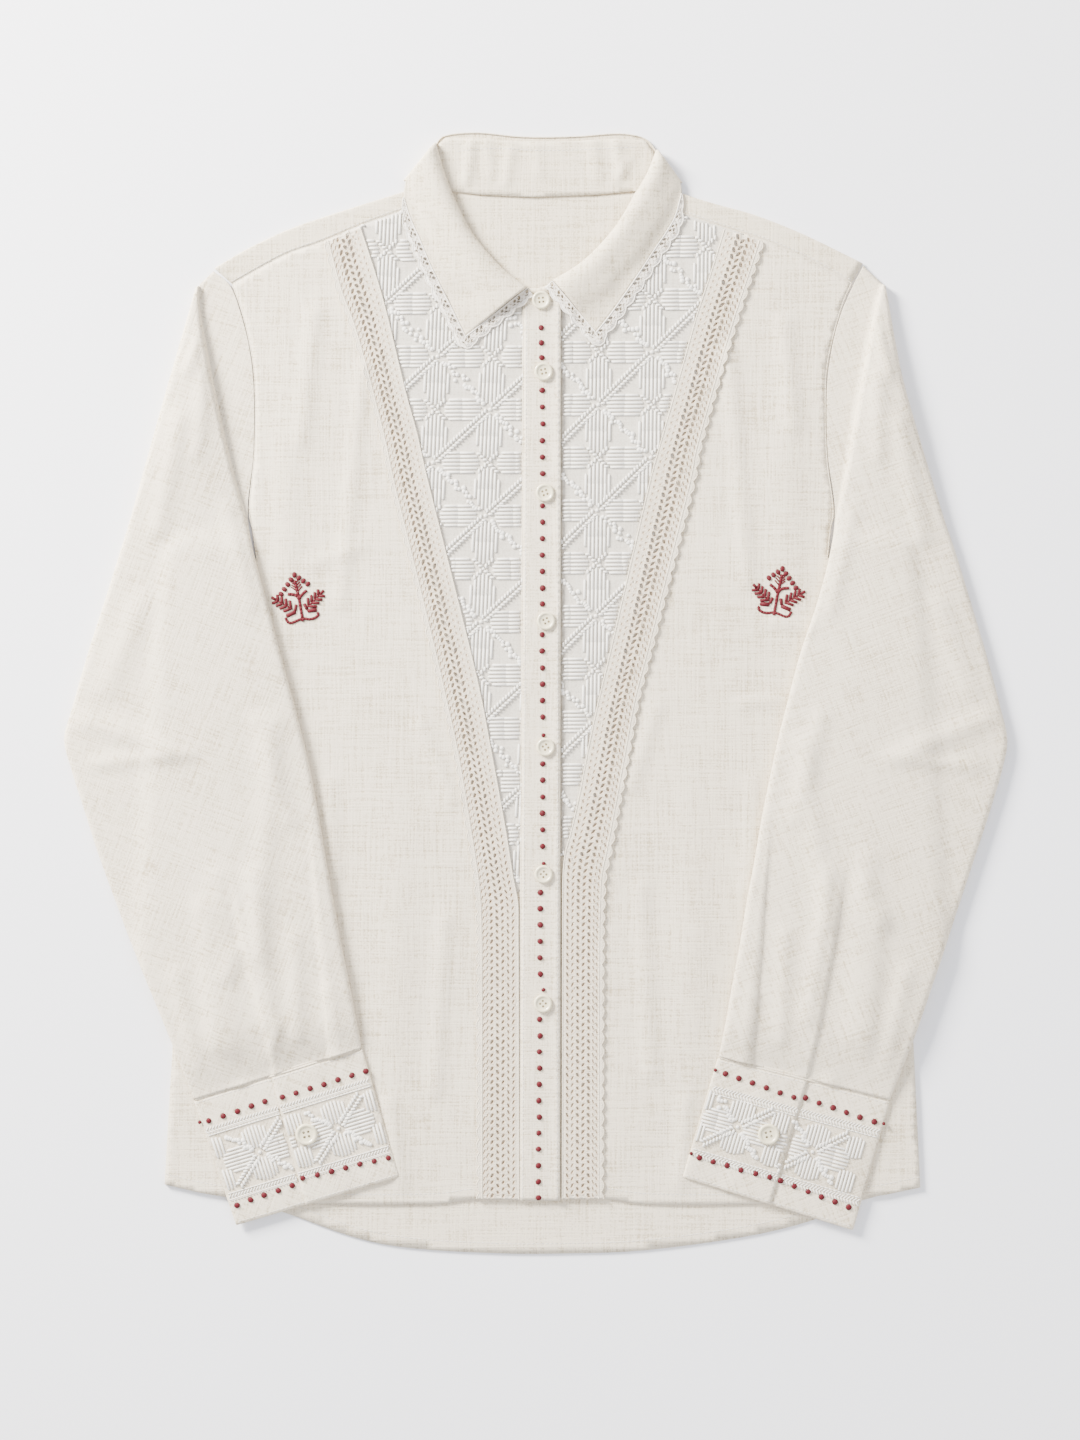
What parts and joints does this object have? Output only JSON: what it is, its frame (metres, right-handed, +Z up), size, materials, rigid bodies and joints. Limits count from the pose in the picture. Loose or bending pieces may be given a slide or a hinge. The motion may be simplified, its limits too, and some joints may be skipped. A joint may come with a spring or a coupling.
{
  "type": "embroidered shirt",
  "caption": "Long-sleeved women's linen shirt laid flat, with a turned-down lace-edged collar, embroidered front panels, lace tapes, red knots and motifs, and buttoned cuffs.",
  "frame": {"origin": "centre of the laid shirt's plan, on the surface that it lies on", "axes": "+Z up from the surface, +Y along the body towards the collar, +X towards the wearer's left sleeve"},
  "size_m": [0.6216, 0.7396, 0.0093],
  "materials": {
    "linen": "matt plain-weave linen",
    "embroidered_ground": "fine ground with raised white satin stitch",
    "cotton_lace": "matt crochet lace",
    "button_ivory": "satin",
    "red_thread": "embroidery thread with a soft sheen"
  },
  "bodies": {
    "root": {"back": "linen", "yoke": "linen", "right_front": "linen", "left_front": "linen", "right_insert": "embroidered_ground", "left_insert": "embroidered_ground", "right_tape": "cotton_lace", "left_tape": "cotton_lace", "placket": "linen", "button_band": "linen", "collar_stand": "linen", "collar": "linen", "right_collar_lace": "cotton_lace", "left_collar_lace": "cotton_lace", "right_sleeve": "linen", "left_sleeve": "linen", "right_cuff": "linen", "left_cuff": "linen", "button_1": "button_ivory", "button_2": "button_ivory", "button_3": "button_ivory", "button_4": "button_ivory", "button_5": "button_ivory", "button_6": "button_ivory", "button_7": "button_ivory", "right_cuff_button": "button_ivory", "left_cuff_button": "button_ivory"}
  },
  "joints": []
}
